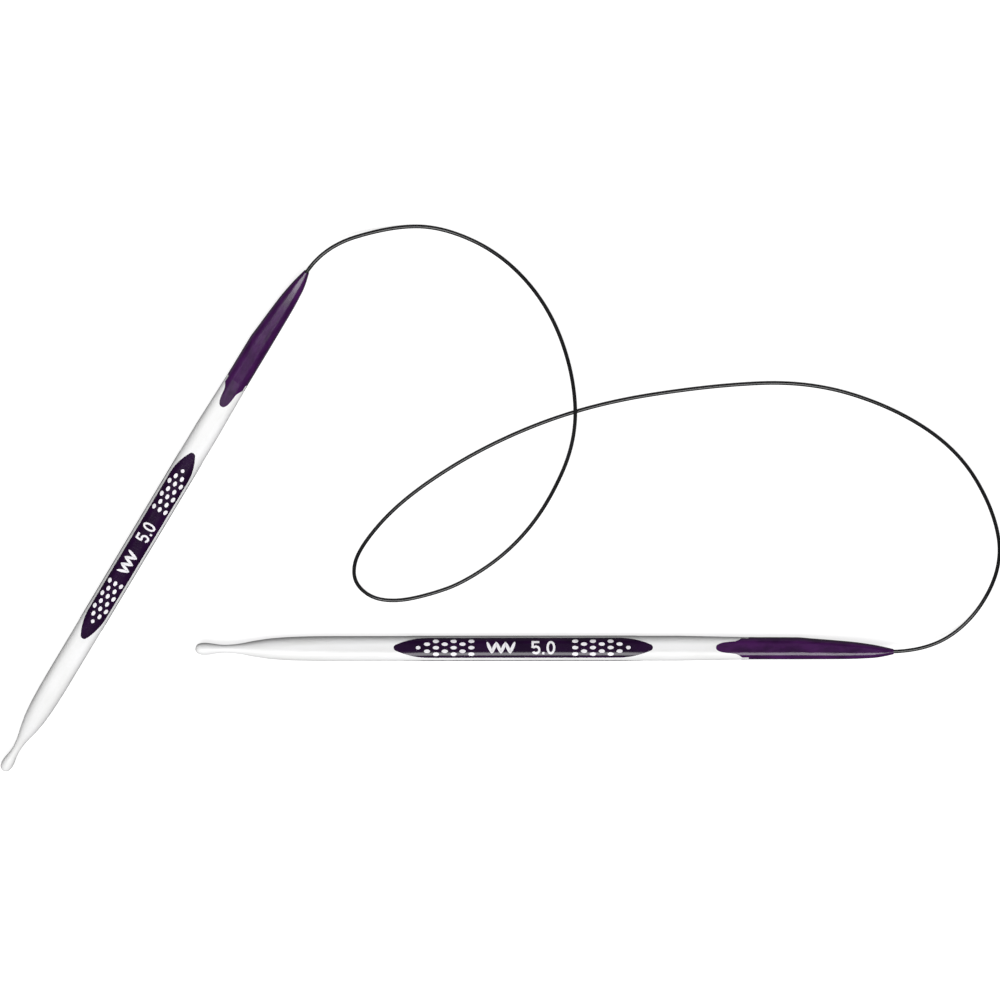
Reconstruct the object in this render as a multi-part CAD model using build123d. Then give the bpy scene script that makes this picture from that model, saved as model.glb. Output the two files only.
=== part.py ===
from build123d import *
import math
import os

# Circular knitting needle: two rounded-triangular tips joined by one thin cable.
# Millimetres, +Z up, lying on the plane z = 0. The origin is below the middle of the two needles' box.
# Each needle is built along +X with its point at x = 0 and its marked face towards +Z, then laid in place.

# ---- Overall ----
NEEDLE_LENGTH = 130.0  # point to cable mouth
CABLE_DIAMETER = 0.7

# ---- Stem section: a triangle with well rounded edges ----
CORNER_CIRCLE = 0.80  # from the stem's axis to the centres of its three rounded edges
CORNER_RADIUS = 1.63
FACE_HEIGHT = CORNER_CIRCLE / 2 + CORNER_RADIUS  # from the axis to each flat face
FACES = 3
CORNER_ARC = 360 / FACES
CORNER_TILT = 30  # from the first face's plane to the direction of the edge beside it
RIDGE_TILT = 180 - CORNER_TILT  # the edge that the cone leans towards

SECTION_PITCH = 1.5  # distance between the sections that the point and the cone run through

# ---- Point: (x, corner circle, corner radius) from the neck to the full section ----
BEAD_RADIUS = 1.12
BEAD_WIDEST_X = 1.5
NECK_RADIUS = 0.74
NECK_X = 5.9
POINT_SECTIONS = [
    (NECK_X, 0.02, NECK_RADIUS),
    (8.0, 0.05, 0.89),
    (11.0, 0.14, 1.37),
    (14.5, 0.32, 1.69),
    (18.0, 0.51, 1.755),
    (23.0, 0.69, 1.715),
    (29.0, 0.78, 1.65),
    (34.0, CORNER_CIRCLE, CORNER_RADIUS),
    (36.0, CORNER_CIRCLE, CORNER_RADIUS),
]
PARALLEL_END = 90.0

# ---- Grip panels, one let into each face ----
PANEL_START = 36.2
PANEL_END = 85.9
PANEL_HALF_WIDTH = 1.85  # the panel's long edges lie on the stem's rounded edges
PANEL_TAPER = 7.2
PANEL_TIP_RADIUS = 0.6
PANEL_DEPTH = 0.75
PANEL_PROUD = 0.04
PANEL_FACE = FACE_HEIGHT + PANEL_PROUD

# ---- Dots inlaid in the panels ----
DOT_LENGTH = 1.15
DOT_WIDTH = 0.66
END_DOT_SHARE = 0.75  # the single dot at the end of each group is smaller
DOT_PITCH = 1.65
WIDE_ROW = 1.20  # rows of a three-dot column, from the centre line
NARROW_ROW = 0.66  # rows of a two-dot column
DOT_COLUMNS = [1, 2, 3, 2, 3, 2, 3]
FIRST_DOT_X = 41.5
LAST_DOT_X = 80.6
INLAY_DEPTH = 0.45

# ---- Marks inlaid in the first panel ----
STITCH_COUNT = 3
STITCH_WIDTH = 1.7
STITCH_HEIGHT = 2.4
STITCH_STROKE = 0.62
STITCH_TILT = 24
STITCH_MARK_X = 56.9
FIGURE_HEIGHT = 2.5
FIGURE_WIDTH = 1.65
FIGURE_STROKE = 0.42
FIGURE_GAP = 0.35
FIVE_START_ANGLE = -150
FIVE_BOWL_ARC = 275
FIVE_UPRIGHT_SHARE = 0.9  # how far up the bowl the upright stops
SIZE_MARK_X = 64.8

# ---- Cone over the cable join: (x, corner circle, corner radius, lean towards the ridge) ----
TONGUE_X = 96.9
CONE_X = 103.0
TONGUE_DEPTH = 0.42
TONGUE_HALF_WIDTHS = [(0.45, 0.64), (1.4, 0.94), (3.2, 1.14), (4.5, 1.58), (5.7, 2.45)]  # behind its tip
TONGUE_REAR = (7.0, 3.2)
CABLE_LEAN = 0.80  # the cable leaves the cone this far off the needle's axis
CONE_SECTIONS = [
    (CONE_X, 0.95, 1.26, 0.05),
    (112.0, 0.93, 1.265, 0.07),
    (114.5, 0.89, 1.20, 0.18),
    (117.0, 0.83, 1.15, 0.29),
    (119.6, 0.76, 1.10, 0.41),
    (122.6, 0.64, 1.04, 0.55),
    (124.6, 0.52, 0.97, 0.65),
    (126.6, 0.38, 0.87, 0.76),
    (128.2, 0.20, 0.73, CABLE_LEAN),
    (129.3, 0.08, 0.59, CABLE_LEAN),
    (NEEDLE_LENGTH, 0.02, 0.48, CABLE_LEAN),
]
CONE_FACE_HEIGHT = CONE_SECTIONS[0][1] / 2 + CONE_SECTIONS[0][2]

# ---- Swivel join inside the cone, in line with the cable ----
SPIGOT_RADIUS = 1.15
SPIGOT_END = 108.0
CHAMBER_RADIUS = 0.92
CHAMBER_END = 114.0
SEAT_LENGTH = 1.2
SEAT_CLEARANCE = 0.06
HEAD_RADIUS = 0.85
HEAD_START = 109.2
END_PLAY = 0.05
HEAD_END = CHAMBER_END - SEAT_LENGTH - END_PLAY
CABLE_SOCKET = 2.4
NOSE_CLEARANCE = 0.05
CABLE_JOINT_X = NEEDLE_LENGTH - 1.0  # where the straight end of the cable meets its free stretch

# ---- Where the needles lie: (x, y) of the point, heading, and roll from marked face up ----
NEEDLE_A = ((-46.25, -28.9), 0.0, -43.0)
NEEDLE_B = ((-83.21, -57.89), 63.15, -16.0)
FLAT_SPOT_X = 60.9  # between the marks on the first panel

# ---- Free stretch of the cable, from needle A's mouth to needle B's ----
CABLE_LOW = CABLE_DIAMETER / 2
CABLE_HIGH = 4.3  # over the crossing
CABLE_LEAD = 7.0
BEND_SHARE = 0.45  # of the shorter run at each corner of the route
CABLE_ROUTE = [
    (98.6, -23.8, CABLE_LOW),
    (103.5, -10.5, CABLE_LOW),
    (101.1, 2.5, CABLE_LOW),
    (94.0, 16.0, CABLE_LOW),
    (81.7, 25.8, CABLE_LOW),
    (66.3, 31.5, CABLE_LOW),
    (48.9, 30.6, CABLE_LOW),
    (27.2, 26.4, CABLE_LOW),
    (8.8, 17.7, CABLE_LOW),
    (-7.1, 5.2, CABLE_LOW),
    (-15.6, -6.6, CABLE_LOW),
    (-17.0, -13.7, CABLE_LOW),
    (-13.9, -18.2, CABLE_LOW),
    (-9.1, -19.3, CABLE_LOW),
    (-3.0, -17.8, CABLE_LOW),
    (3.8, -14.8, CABLE_LOW),
    (12.5, -7.2, CABLE_LOW),
    (19.3, 3.4, CABLE_LOW),
    (24.5, 19.0, CABLE_HIGH),
    (23.8, 34.2, CABLE_HIGH),
    (19.2, 48.5, CABLE_LOW),
    (10.9, 59.8, CABLE_LOW),
    (0.3, 65.8, CABLE_LOW),
    (-8.8, 65.9, CABLE_LOW),
]


def along(tilt, distance):
    """Point in the section plane, at an angle from +Y towards +Z."""
    angle = math.radians(tilt)
    return Vector(math.cos(angle), math.sin(angle)) * distance


def rounded_triangle(x, corner_circle, corner_radius, lean=0.0):
    """Stem section at x, with one flat side towards +Z, moved towards the ridge by its lean."""
    middle = along(RIDGE_TILT, lean)
    edges = []
    for corner in range(FACES):
        tilt = CORNER_ARC * corner + CORNER_TILT
        centre = middle + along(tilt, corner_circle)
        edges.append(CenterArc(centre, corner_radius, tilt - CORNER_ARC / 2, CORNER_ARC))
    arcs = list(edges)
    for corner in range(FACES):
        following = arcs[(corner + 1) % FACES]
        edges.append(Line(arcs[corner] @ 1, following @ 0))
    section_plane = Plane((x, 0, 0), x_dir=(0, 1, 0), z_dir=(1, 0, 0))
    return section_plane * make_face(edges)


def rates(sections):
    """Rate of change of each section's sizes along x, so that no size overshoots between sections."""
    steps = []
    for here, following in zip(sections, sections[1:]):
        length = following[0] - here[0]
        steps.append([(after - before) / length for before, after in zip(here, following)])
    middles = []
    for arriving, leaving in zip(steps, steps[1:]):
        pairs = zip(arriving, leaving)
        middles.append([2 * a * b / (a + b) if a * b > 0 else 0.0 for a, b in pairs])
    level = [1.0] + [0.0] * (len(sections[0]) - 1)
    return [level] + middles + [steps[-1]]


def blended(sections):
    """The given sections with smoothly changing ones between them."""
    slopes = rates(sections)
    result = []
    for index in range(len(sections) - 1):
        length = sections[index + 1][0] - sections[index][0]
        count = math.ceil(length / SECTION_PITCH)
        for step in range(count):
            t = step / count
            start_share = 2 * t**3 - 3 * t**2 + 1
            start_rate_share = (t**3 - 2 * t**2 + t) * length
            end_rate_share = (t**3 - t**2) * length
            values = zip(sections[index], sections[index + 1], slopes[index], slopes[index + 1])
            result.append([
                start_share * start + (1 - start_share) * end
                + start_rate_share * start_rate + end_rate_share * end_rate
                for start, end, start_rate, end_rate in values
            ])
    return result + [sections[-1]]


def lofted(sections):
    """Smooth body through rounded-triangular sections."""
    return loft([rounded_triangle(*section).face() for section in blended(sections)])


def disc_bar(start, end, radius):
    """Round bar along the needle's axis."""
    return Plane((start, 0, 0), z_dir=(1, 0, 0)) * extrude(Circle(radius), end - start)


def swivel_bar(start, end, radius):
    """Round bar in line with the cable where it leaves the cone."""
    middle = along(RIDGE_TILT, CABLE_LEAN)
    return Pos(0, middle.X, middle.Y) * disc_bar(start, end, radius)


def face_turn(face):
    """Turns a piece made on the first face round to another face."""
    return Rot(CORNER_ARC * face, 0, 0)


def prism(sketch, low, high):
    """Upright prism on a sketch drawn in the needle's XY plane."""
    return Pos(0, 0, low) * extrude(sketch, high - low)


# ---- Stem ----


def bead():
    """Drop-shaped bead, and the neck that runs into the point."""
    root_x = NECK_X + NECK_RADIUS
    top = Spline([(0, 0), (BEAD_WIDEST_X, BEAD_RADIUS), (NECK_X, NECK_RADIUS)], tangents=[(0, 1), (1, 0)])
    rear = Polyline((NECK_X, NECK_RADIUS), (root_x, NECK_RADIUS), (root_x, 0), (0, 0))
    return revolve(make_face([top, rear]), Axis.X)


def stem_front():
    """Outside of the stem, from its point to the end of its parallel part."""
    full_x = POINT_SECTIONS[-1][0]
    full_section = rounded_triangle(full_x, CORNER_CIRCLE, CORNER_RADIUS)
    return bead() + lofted(POINT_SECTIONS) + extrude(full_section, PARALLEL_END - full_x)


def stem_rear():
    """Outside of the stem behind its parallel part, thinning slightly to the cone's shoulder."""
    start = (PARALLEL_END, CORNER_CIRCLE, CORNER_RADIUS, 0.0)
    return loft([rounded_triangle(*section).face() for section in (start, CONE_SECTIONS[0])])


def stem():
    """White needle stem, with a pocket for each panel and tongue, and the spigot under the cone."""
    solid = stem_front() + stem_rear()
    for face in range(FACES):
        solid -= face_turn(face) * panel_prism()
        solid -= face_turn(face) * tongue_prism()
    return solid + disc_bar(CONE_X - 1, SPIGOT_END, SPIGOT_RADIUS)


# ---- Grip panels, dots and marks ----


def panel_outline():
    """Boat shape with pointed ends, in the needle's XY plane."""
    shoulders = [PANEL_START + PANEL_TAPER, PANEL_END - PANEL_TAPER]
    arch_radius = (PANEL_TAPER**2 + PANEL_HALF_WIDTH**2) / (2 * PANEL_HALF_WIDTH)
    sweep_angle = math.degrees(math.asin(PANEL_TAPER / arch_radius))
    edges = []
    for side in (1, -1):
        centre_y = side * (PANEL_HALF_WIDTH - arch_radius)
        up = 90 * side
        edges.append(CenterArc((shoulders[0], centre_y), arch_radius, up, sweep_angle * side))
        edges.append(CenterArc((shoulders[1], centre_y), arch_radius, up, -sweep_angle * side))
        long_edge_y = side * PANEL_HALF_WIDTH
        edges.append(Line((shoulders[0], long_edge_y), (shoulders[1], long_edge_y)))
    outline = make_face(edges)
    tips = outline.vertices().sort_by(Axis.X)
    return fillet([tips[0], tips[-1]], PANEL_TIP_RADIUS)


def panel_prism():
    return prism(panel_outline(), FACE_HEIGHT - PANEL_DEPTH, 2 * FACE_HEIGHT)


def panel_skin():
    """Bar with the outer surface of the panels."""
    return extrude(
        rounded_triangle(PANEL_START - 1, CORNER_CIRCLE, CORNER_RADIUS + PANEL_PROUD),
        PARALLEL_END - PANEL_START,
    )


def inlay(sketch):
    """A mark's own solid, flush with the panel's rounded surface."""
    return prism(sketch, PANEL_FACE - INLAY_DEPTH, PANEL_FACE) & panel_skin()


def dot_rows(count):
    if count == 1:
        return [0]
    if count == 2:
        return [-NARROW_ROW, NARROW_ROW]
    return [-WIDE_ROW, 0, WIDE_ROW]


def dots():
    """Two groups of staggered oval dots, one a mirror image of the other."""
    sketches = []
    for column, count in enumerate(DOT_COLUMNS):
        share = END_DOT_SHARE if count == 1 else 1
        for x in (FIRST_DOT_X + column * DOT_PITCH, LAST_DOT_X - column * DOT_PITCH):
            for y in dot_rows(count):
                oval = Ellipse(DOT_LENGTH / 2 * share, DOT_WIDTH / 2)
                sketches.append(Pos(x, y) * oval)
    return [inlay(sketch) for sketch in sketches]


def stitch_mark():
    """A short row of knitted stitches, each a pair of leaning leaves."""
    solids = []
    for stitch in range(STITCH_COUNT):
        x = STITCH_MARK_X + (stitch - (STITCH_COUNT - 1) / 2) * STITCH_WIDTH
        for side in (1, -1):
            leaf = Ellipse(STITCH_STROKE / 2, STITCH_HEIGHT / 2)
            place = Pos(x + side * STITCH_WIDTH / 4, 0) * Rot(0, 0, -side * STITCH_TILT)
            solids.append(inlay(place * leaf))
    return solids


def size_mark():
    """The size figures 5.0."""
    half_stroke = FIGURE_STROKE / 2
    top = FIGURE_HEIGHT / 2 - half_stroke
    half_width = FIGURE_WIDTH / 2 - half_stroke
    pen = FIGURE_WIDTH / 2 + FIGURE_GAP + half_stroke
    five = five_outline(half_width, top)
    zero = Ellipse(FIGURE_WIDTH / 2, FIGURE_HEIGHT / 2) - Ellipse(
        FIGURE_WIDTH / 2 - FIGURE_STROKE, FIGURE_HEIGHT / 2 - FIGURE_STROKE
    )
    point = Rectangle(FIGURE_STROKE, FIGURE_STROKE)
    placed = [
        Pos(SIZE_MARK_X - pen, 0) * five,
        Pos(SIZE_MARK_X, -top) * point,
        Pos(SIZE_MARK_X + pen, 0) * zero,
    ]
    return [inlay(sketch) for sketch in placed]


def five_outline(half_width, top):
    """Figure five: a flag, an upright and a bowl, drawn with one stroke width."""
    bowl_radius = half_width
    bowl_y = -top + bowl_radius
    upright_y = bowl_y + bowl_radius * FIVE_UPRIGHT_SHARE
    bowl = CenterArc((0, bowl_y), bowl_radius, FIVE_START_ANGLE, FIVE_BOWL_ARC)
    flag = Polyline((half_width, top), (-half_width, top), (-half_width, upright_y), bowl @ 1)
    return trace([flag, bowl], FIGURE_STROKE)


def group(pieces):
    """Several separate solids as one node."""
    return Compound([solid for piece in pieces for solid in piece.solids()])


# ---- Cone and the swivel join inside it ----


def tongue_outline():
    """Outline of one tongue: a round-ended strip that widens to the whole face at the cone's shoulder."""
    places = [(0.0, 0.0)] + TONGUE_HALF_WIDTHS + [TONGUE_REAR]
    upper_points = [(TONGUE_X + back, half_width) for back, half_width in places]
    upper = Spline(upper_points, tangents=[(0, 1), (1, 1)])
    lower = mirror(upper, Plane.XZ)
    rear_x, half_width = upper_points[-1]
    rear = Line((rear_x, half_width), (rear_x, -half_width))
    return make_face([upper, lower, rear])


def tongue_prism():
    return prism(tongue_outline(), CONE_FACE_HEIGHT - TONGUE_DEPTH, 2 * FACE_HEIGHT)


def cone():
    """Purple cone: a hollow ogive with three tongues reaching forward over the stem's faces."""
    solid = lofted(CONE_SECTIONS)
    stem_end = stem_rear()
    for face in range(FACES):
        solid += stem_end & face_turn(face) * tongue_prism()
    solid -= disc_bar(CONE_X - 1, SPIGOT_END, SPIGOT_RADIUS)
    solid -= swivel_bar(SPIGOT_END, CHAMBER_END, CHAMBER_RADIUS)
    solid -= swivel_bar(CHAMBER_END, NEEDLE_LENGTH + 1, CABLE_DIAMETER / 2 + NOSE_CLEARANCE)
    return solid


def join_seat():
    """Brass ring that the cable's head turns against."""
    ring = swivel_bar(CHAMBER_END - SEAT_LENGTH, CHAMBER_END, CHAMBER_RADIUS)
    return ring - swivel_bar(0, NEEDLE_LENGTH, CABLE_DIAMETER / 2 + SEAT_CLEARANCE)


def cable_head():
    """Crimped metal head, with a blind socket for the cable."""
    head = swivel_bar(HEAD_START, HEAD_END, HEAD_RADIUS)
    return head - swivel_bar(HEAD_END - CABLE_SOCKET, HEAD_END + 1, CABLE_DIAMETER / 2)


def cable_end():
    """Straight end of the cable, from the head's socket to just inside the cone's mouth."""
    return swivel_bar(HEAD_END - CABLE_SOCKET, CABLE_JOINT_X, CABLE_DIAMETER / 2)


# ---- Layout ----


def needle_pieces():
    """Pieces that turn with one needle, by name."""
    blank = panel_skin() & panel_prism()
    dot_solids = dots()
    stitches = stitch_mark()
    figures = size_mark()
    dotted = blank - dot_solids
    pieces = {"shaft": stem(), "cone": cone(), "join_seat": join_seat()}
    for face in range(FACES):
        panel = dotted
        if face == 0:
            panel = dotted - stitches - figures
        pieces[f"grip_panel_{face + 1}"] = face_turn(face) * panel
    pieces["dots"] = group([face_turn(face) * dot for face in range(FACES) for dot in dot_solids])
    pieces["stitch_mark"] = group(stitches)
    pieces["size_mark"] = group(figures)
    return pieces


def laid(lie, pieces):
    """Location that lays a needle on the floor at its place, heading and roll."""
    (x, y), heading, roll = lie
    turned = Rot(0, 0, heading) * Rot(roll, 0, 0)
    lowest = min((turned * piece).bounding_box().min.Z for piece in pieces.values())
    return Pos(x, y, -lowest) * turned


def bend_radii(points):
    """One radius for each corner of the route, as large as its two runs allow."""
    radii = []
    for before, corner, after in zip(points, points[1:], points[2:]):
        arriving = corner - before
        leaving = after - corner
        half_turn = math.radians(arriving.get_angle(leaving)) / 2
        radii.append(BEND_SHARE * min(arriving.length, leaving.length) / math.tan(half_turn))
    return radii


def on_cable_line(lie, x):
    """Point on the line along which the cable leaves a needle."""
    middle = along(RIDGE_TILT, CABLE_LEAN)
    return (lie * Pos(x, middle.X, middle.Y)).position


def free_cable(lie_a, lie_b):
    """Tube along the free stretch of the cable."""
    lead_x = CABLE_JOINT_X + CABLE_LEAD
    start = [on_cable_line(lie_a, CABLE_JOINT_X), on_cable_line(lie_a, lead_x)]
    finish = [on_cable_line(lie_b, lead_x), on_cable_line(lie_b, CABLE_JOINT_X)]
    points = start + [Vector(*point) for point in CABLE_ROUTE] + finish
    radii = bend_radii(points)
    path = FilletPolyline(*points, radius=radii)
    tube = sweep(Plane(path @ 0, z_dir=path % 0) * Circle(CABLE_DIAMETER / 2), path)
    section = math.pi * CABLE_DIAMETER**2 / 4
    print("cable points", [tuple(round(value, 2) for value in point) for point in points])
    print("cable bend radii", [round(radius, 1) for radius in radii])
    print("cable length", path.length)
    print("cable volume", tube.volume, "section times length", section * path.length)
    return tube


def report(name, lie):
    """Prints what the record states about one needle."""
    flat_spot = (lie * Pos(FLAT_SPOT_X, 0, PANEL_FACE)).position
    print(name, "axis height", lie.position.Z)
    print(name, "mouth", on_cable_line(lie, NEEDLE_LENGTH), "joint", on_cable_line(lie, CABLE_JOINT_X))
    print(name, "flat spot", flat_spot, "normal", Plane(lie).z_dir, "axis", Plane(lie).x_dir)


def main():
    os.makedirs("parts", exist_ok=True)
    pieces = needle_pieces()
    lie_a = laid(NEEDLE_A, pieces)
    lie_b = laid(NEEDLE_B, pieces)
    report("needle a", lie_a)
    report("needle b", lie_b)
    nodes = {"cable": free_cable(lie_a, lie_b)}
    for side, lie in (("a", lie_a), ("b", lie_b)):
        for name, piece in pieces.items():
            nodes[f"needle_{side}_{name}"] = lie * piece
        nodes[f"cable_head_{side}"] = lie * cable_head()
        nodes[f"cable_end_{side}"] = lie * cable_end()
    needles = Compound([node for name, node in nodes.items() if name.startswith("needle")])
    box = needles.bounding_box()
    print("needles' box", box.min, box.max, "middle", box.center())
    for name, node in nodes.items():
        export_step(node, f"parts/{name}.step")


main()
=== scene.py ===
import math

import bpy
from mathutils import Matrix, Vector


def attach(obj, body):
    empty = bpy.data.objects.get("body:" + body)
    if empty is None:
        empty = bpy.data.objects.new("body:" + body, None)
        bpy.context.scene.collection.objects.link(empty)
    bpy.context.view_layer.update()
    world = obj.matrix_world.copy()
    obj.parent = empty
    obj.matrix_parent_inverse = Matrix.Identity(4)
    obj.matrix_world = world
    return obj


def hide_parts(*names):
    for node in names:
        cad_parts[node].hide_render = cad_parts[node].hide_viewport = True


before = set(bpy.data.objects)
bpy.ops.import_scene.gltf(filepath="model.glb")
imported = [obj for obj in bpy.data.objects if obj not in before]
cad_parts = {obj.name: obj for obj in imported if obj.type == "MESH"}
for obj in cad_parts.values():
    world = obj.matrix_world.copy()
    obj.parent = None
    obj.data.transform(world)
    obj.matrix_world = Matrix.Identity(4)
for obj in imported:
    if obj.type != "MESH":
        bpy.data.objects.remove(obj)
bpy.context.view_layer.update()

MM = 0.001
NEEDLES = {"a": 0.0, "b": 63.15}  # heading of each needle in the plane, in degrees

# ---- Camera: beyond the cable's loop, looking down and back at the needles ----
# It is upside down, so that the loop is at the top of the picture.

CAMERA_TARGET = Vector((0.0105, 0.0042, 0.0))
CAMERA_DISTANCE = 1.2735
CAMERA_ELEVATION = math.radians(52.58)
CAMERA_ROLL = math.radians(-0.06)
CAMERA_LENS_MM = 249.7
CAMERA_SENSOR_MM = 36.0
CAMERA_NEAR, CAMERA_FAR = 0.05, 20.0


def make_camera():
    data = bpy.data.cameras.new("camera")
    data.lens = CAMERA_LENS_MM
    data.sensor_width = CAMERA_SENSOR_MM
    data.clip_start, data.clip_end = CAMERA_NEAR, CAMERA_FAR
    camera = bpy.data.objects.new("camera", data)
    bpy.context.scene.collection.objects.link(camera)
    back = Vector((0.0, math.cos(CAMERA_ELEVATION), math.sin(CAMERA_ELEVATION)))
    right = Vector((1.0, 0.0, 0.0))
    up = back.cross(right)
    turned_right = right * math.cos(CAMERA_ROLL) + up * math.sin(CAMERA_ROLL)
    turned_up = up * math.cos(CAMERA_ROLL) - right * math.sin(CAMERA_ROLL)
    pose = Matrix((turned_right, turned_up, back)).transposed().to_4x4()
    pose.translation = CAMERA_TARGET + back * CAMERA_DISTANCE
    camera.matrix_world = pose
    bpy.context.scene.camera = camera


make_camera()

# ---- Cable: one smooth line from mouth to mouth, lying on the floor ----

CABLE_DIAMETER = 0.7 * MM
CABLE_GAP = 0.1 * MM  # between its two stretches where it crosses itself
CABLE_LOW = CABLE_DIAMETER / 2
CABLE_OVER = CABLE_LOW + CABLE_DIAMETER + CABLE_GAP
CURVE_ORDER = 3
CURVE_RESOLUTION = 16
BEVEL_RESOLUTION = 5
CABLE_POINTS = [
    # straight out of needle A's cone, then down to the floor
    (0.08275, -0.02913, 0.00302),
    (0.08975, -0.02913, 0.00302),
    (0.0986, -0.0238, CABLE_LOW),
    # the wide bend past needle A's cable end
    (0.1035, -0.0105, CABLE_LOW),
    (0.1011, 0.0025, CABLE_LOW),
    (0.0940, 0.0160, CABLE_LOW),
    (0.0817, 0.0258, CABLE_LOW),
    (0.0663, 0.0315, CABLE_LOW),
    # the long run back between the needles
    (0.0489, 0.0306, CABLE_LOW),
    (0.0272, 0.0264, CABLE_LOW),
    (0.0088, 0.0177, CABLE_LOW),
    (-0.0071, 0.0052, CABLE_LOW),
    # the tight loop
    (-0.0156, -0.0066, CABLE_LOW),
    (-0.0170, -0.0137, CABLE_LOW),
    (-0.0139, -0.0182, CABLE_LOW),
    (-0.0091, -0.0193, CABLE_LOW),
    (-0.0030, -0.0178, CABLE_LOW),
    (0.0038, -0.0148, CABLE_LOW),
    (0.0125, -0.0072, CABLE_LOW),
    (0.0193, 0.0034, CABLE_LOW),
    # over the long run
    (0.0245, 0.0190, CABLE_OVER),
    (0.0238, 0.0342, CABLE_OVER),
    # the upper arc, then up and straight into needle B's cone
    (0.0192, 0.0485, CABLE_LOW),
    (0.0109, 0.0598, CABLE_LOW),
    (0.0003, 0.0658, CABLE_LOW),
    (-0.0088, 0.0659, CABLE_LOW),
    (-0.02129, 0.06320, 0.00301),
    (-0.02445, 0.05695, 0.00301),
]


def make_cable():
    curve = bpy.data.curves.new("cable_cord", "CURVE")
    curve.dimensions = "3D"
    spline = curve.splines.new("NURBS")
    spline.points.add(len(CABLE_POINTS) - 1)
    for point, place in zip(spline.points, CABLE_POINTS):
        point.co = (*place, 1.0)
        point.radius = CABLE_DIAMETER / 2
    spline.order_u = CURVE_ORDER
    spline.use_endpoint_u = True
    spline.resolution_u = CURVE_RESOLUTION
    curve.bevel_depth = 1.0  # multiplies the points' radii, which are the real size
    curve.bevel_resolution = BEVEL_RESOLUTION
    curve.use_fill_caps = True
    cord = bpy.data.objects.new("cable_cord", curve)
    bpy.context.scene.collection.objects.link(cord)
    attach(cord, "cable")
    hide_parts("cable")
    return cord


cable = make_cable()

# ---- Materials: procedural, with sizes in millimetres along the needle, across it and up ----
# Clouds vary the colour, streaks vary the roughness, and the grain is a bump of grain_mm depth.

FINISHES = {
    "pearl_white": {
        "sockets": {
            "IOR": 1.49, "Specular IOR Level": 0.36, "Coat Weight": 0.1, "Coat Roughness": 0.2,
        },
        "clouds": {"size": (9.0, 2.2, 2.2), "detail": 2.0},
        "colours": ((0.80, 0.80, 0.795), (0.85, 0.85, 0.855)),
        "streaks": {"size": (3.0, 0.5, 0.5)},
        "roughness": (0.36, 0.46),
        "grain": {"size": (1.2, 0.12, 0.12), "detail": 4.0, "roughness": 0.6},
        "grain_mm": 0.004,
    },
    "grip_purple": {
        "sockets": {"IOR": 1.5, "Specular IOR Level": 0.5},
        "clouds": {"size": (6.0, 2.0, 2.0)},
        "colours": ((0.0100, 0.0011, 0.0168), (0.0176, 0.0020, 0.0284)),
        "streaks": {"size": (1.0, 0.6, 0.6)},
        "roughness": (0.16, 0.23),
        "grain": {"size": (0.16, 0.16, 0.16), "detail": 5.0, "roughness": 0.65},
        "grain_mm": 0.005,
    },
    "cone_purple": {
        "sockets": {"IOR": 1.5, "Specular IOR Level": 0.55},
        "clouds": {"size": (3.5, 1.2, 1.2), "detail": 4.0, "roughness": 0.6},
        "colours": ((0.028, 0.0034, 0.041), (0.054, 0.0080, 0.077)),
        "streaks": {"size": (2.0, 0.5, 0.5)},
        "roughness": (0.16, 0.23),
        "grain": {"size": (0.6, 0.14, 0.14), "detail": 5.0, "roughness": 0.6},
        "grain_mm": 0.005,
    },
    "mark_white": {
        "sockets": {"IOR": 1.49},
        "clouds": {"size": (0.8, 0.8, 0.8), "detail": 2.0},
        "colours": ((0.78, 0.76, 0.80), (0.86, 0.85, 0.87)),
        "streaks": {"size": (0.3, 0.3, 0.3)},
        "roughness": (0.34, 0.46),
        "grain": {"size": (0.1, 0.1, 0.1)},
        "grain_mm": 0.003,
    },
    "join_brass": {
        "sockets": {"Metallic": 1.0},
        "clouds": {"size": (1.0, 1.0, 1.0)},
        "colours": ((0.62, 0.43, 0.17), (0.75, 0.55, 0.25)),
        "streaks": {"size": (0.05, 0.6, 0.6)},
        "roughness": (0.22, 0.38),
        "grain": {"size": (0.06, 1.0, 1.0)},
        "grain_mm": 0.004,
    },
    "cable_grey": {
        "sockets": {"IOR": 1.5, "Specular IOR Level": 0.6},
        "clouds": {"size": (22.0, 22.0, 22.0), "detail": 2.0},
        "colours": ((0.0065, 0.0065, 0.0075), (0.013, 0.013, 0.014)),
        "streaks": {"size": (2.0, 2.0, 2.0)},
        "roughness": (0.20, 0.30),
        "grain": {"size": (0.3, 0.3, 0.3)},
        "grain_mm": 0.002,
    },
}
RAMP_START, RAMP_END = 0.35, 0.65  # the part of the noise's range that most of it lies in

NEEDLE_FINISHES = {
    "shaft": "pearl_white",
    "grip_panel_1": "grip_purple",
    "grip_panel_2": "grip_purple",
    "grip_panel_3": "grip_purple",
    "dots": "mark_white",
    "stitch_mark": "mark_white",
    "size_mark": "mark_white",
    "cone": "cone_purple",
    "join_seat": "join_brass",
}


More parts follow.
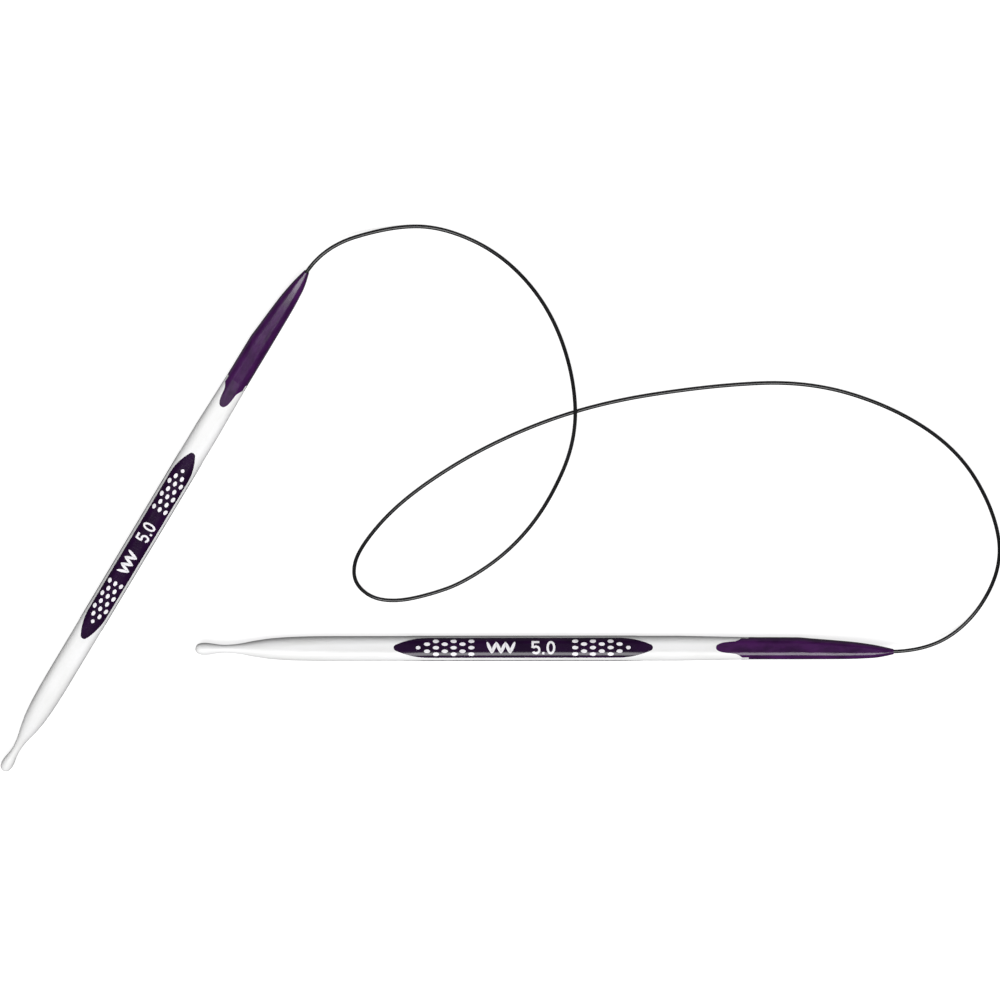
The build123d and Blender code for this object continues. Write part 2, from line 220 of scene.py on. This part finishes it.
class Finish:
    """A Principled material on the object's own coordinates in millimetres, turned to a heading."""

    def __init__(self, name, heading, sockets):
        self.material = bpy.data.materials.new(name)
        self.material.use_nodes = True
        self.nodes = self.material.node_tree.nodes
        self.shader = self.nodes["Principled BSDF"]
        for socket, value in sockets.items():
            self.shader.inputs[socket].default_value = value
        coordinates = self.nodes.new("ShaderNodeTexCoord")
        mapping = self.nodes.new("ShaderNodeMapping")
        mapping.inputs["Rotation"].default_value = (0.0, 0.0, -math.radians(heading))
        mapping.inputs["Scale"].default_value = (1.0 / MM,) * 3
        self.link(coordinates.outputs["Object"], mapping.inputs["Vector"])
        self.place = mapping.outputs["Vector"]

    def link(self, source, target):
        self.material.node_tree.links.new(source, target)

    def noise(self, size, detail=3.0, roughness=0.5):
        """Noise whose blobs are about size millimetres long on each axis."""
        divide = self.nodes.new("ShaderNodeVectorMath")
        divide.operation = "DIVIDE"
        divide.inputs[1].default_value = size
        self.link(self.place, divide.inputs[0])
        node = self.nodes.new("ShaderNodeTexNoise")
        node.inputs["Scale"].default_value = 1.0
        node.inputs["Detail"].default_value = detail
        node.inputs["Roughness"].default_value = roughness
        self.link(divide.outputs["Vector"], node.inputs["Vector"])
        return node.outputs["Fac"]

    def colour(self, fac, low, high):
        """Base colour between two values."""
        ramp = self.nodes.new("ShaderNodeValToRGB")
        first, last = ramp.color_ramp.elements
        first.position, first.color = RAMP_START, (*low, 1.0)
        last.position, last.color = RAMP_END, (*high, 1.0)
        self.link(fac, ramp.inputs["Fac"])
        self.link(ramp.outputs["Color"], self.shader.inputs["Base Color"])

    def roughness(self, fac, low, high):
        """Roughness between two values."""
        spread = self.nodes.new("ShaderNodeMapRange")
        spread.inputs["To Min"].default_value = low
        spread.inputs["To Max"].default_value = high
        self.link(fac, spread.inputs["Value"])
        self.link(spread.outputs["Result"], self.shader.inputs["Roughness"])

    def bump(self, fac, depth_mm):
        node = self.nodes.new("ShaderNodeBump")
        node.inputs["Distance"].default_value = depth_mm * MM
        node.inputs["Strength"].default_value = 1.0
        self.link(fac, node.inputs["Height"])
        self.link(node.outputs["Normal"], self.shader.inputs["Normal"])


def make_material(kind, name, heading):
    look = FINISHES[kind]
    finish = Finish(name, heading, look["sockets"])
    finish.colour(finish.noise(**look["clouds"]), *look["colours"])
    finish.roughness(finish.noise(**look["streaks"]), *look["roughness"])
    finish.bump(finish.noise(**look["grain"]), look["grain_mm"])
    return finish.material


def paint(node, material):
    """Gives a CAD node its material."""
    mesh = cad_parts[node].data
    mesh.materials.clear()
    mesh.materials.append(material)


for side, heading in NEEDLES.items():
    for part, kind in NEEDLE_FINISHES.items():
        paint(f"needle_{side}_{part}", make_material(kind, f"{part}_{side}", heading))
    paint(f"cable_head_{side}", make_material("join_brass", f"head_{side}", heading))
    paint(f"cable_end_{side}", make_material("cable_grey", f"end_{side}", 0.0))
cable.data.materials.append(make_material("cable_grey", "cable", 0.0))

# ---- Floor and light: a light table, one soft box overhead, and the table's glow from below ----

FLOOR_HALF_WIDTH = 3.0
FLOOR_GREY = 0.35
FLOOR_ROUGHNESS = 0.9
FLOOR_GLOW = 0.80
GLOW_FROM_BELOW = 0.22
FILL_FROM_ABOVE = 0.05
HORIZON_BLEND = 0.1  # Z of a direction, up or down, at which the blend between the two ends
KEY_PLACE = (-0.10, 0.23, 1.24)
KEY_SIZE = (1.70, 0.76)
KEY_WATTS = 24.0


def grey(value):
    return (value, value, value, 1.0)


def make_floor():
    """The glowing table top: it neither lights the object nor shows in its gloss."""
    half = FLOOR_HALF_WIDTH
    mesh = bpy.data.meshes.new("floor")
    corners = [(-half, -half, 0.0), (half, -half, 0.0), (half, half, 0.0), (-half, half, 0.0)]
    mesh.from_pydata(corners, [], [(0, 1, 2, 3)])
    floor = bpy.data.objects.new("floor", mesh)
    bpy.context.scene.collection.objects.link(floor)
    material = bpy.data.materials.new("floor")
    material.use_nodes = True
    shader = material.node_tree.nodes["Principled BSDF"]
    shader.inputs["Base Color"].default_value = grey(FLOOR_GREY)
    shader.inputs["Roughness"].default_value = FLOOR_ROUGHNESS
    shader.inputs["Specular IOR Level"].default_value = 0.0
    shader.inputs["Emission Color"].default_value = grey(1.0)
    shader.inputs["Emission Strength"].default_value = FLOOR_GLOW
    mesh.materials.append(material)
    floor.visible_diffuse = False
    floor.visible_glossy = False


def make_world():
    """Dim all round above the floor, brighter below it."""
    world = bpy.data.worlds.new("studio")
    bpy.context.scene.world = world
    world.use_nodes = True
    nodes, links = world.node_tree.nodes, world.node_tree.links
    direction = nodes.new("ShaderNodeTexCoord")
    height = nodes.new("ShaderNodeSeparateXYZ")
    blend = nodes.new("ShaderNodeMapRange")
    blend.inputs["From Min"].default_value = -HORIZON_BLEND
    blend.inputs["From Max"].default_value = HORIZON_BLEND
    blend.inputs["To Min"].default_value = GLOW_FROM_BELOW
    blend.inputs["To Max"].default_value = FILL_FROM_ABOVE
    background = nodes["Background"]
    background.inputs["Color"].default_value = grey(1.0)
    links.new(direction.outputs["Generated"], height.inputs["Vector"])
    links.new(height.outputs["Z"], blend.inputs["Value"])
    links.new(blend.outputs["Result"], background.inputs["Strength"])


def make_key():
    """One soft box, aimed at the origin."""
    data = bpy.data.lights.new("key", "AREA")
    data.shape = "RECTANGLE"
    data.size, data.size_y = KEY_SIZE
    data.energy = KEY_WATTS
    light = bpy.data.objects.new("key", data)
    light.location = KEY_PLACE
    light.rotation_euler = (-Vector(KEY_PLACE)).to_track_quat("-Z", "Y").to_euler()
    bpy.context.scene.collection.objects.link(light)


make_floor()
make_world()
make_key()
bpy.context.scene.view_settings.view_transform = "Standard"
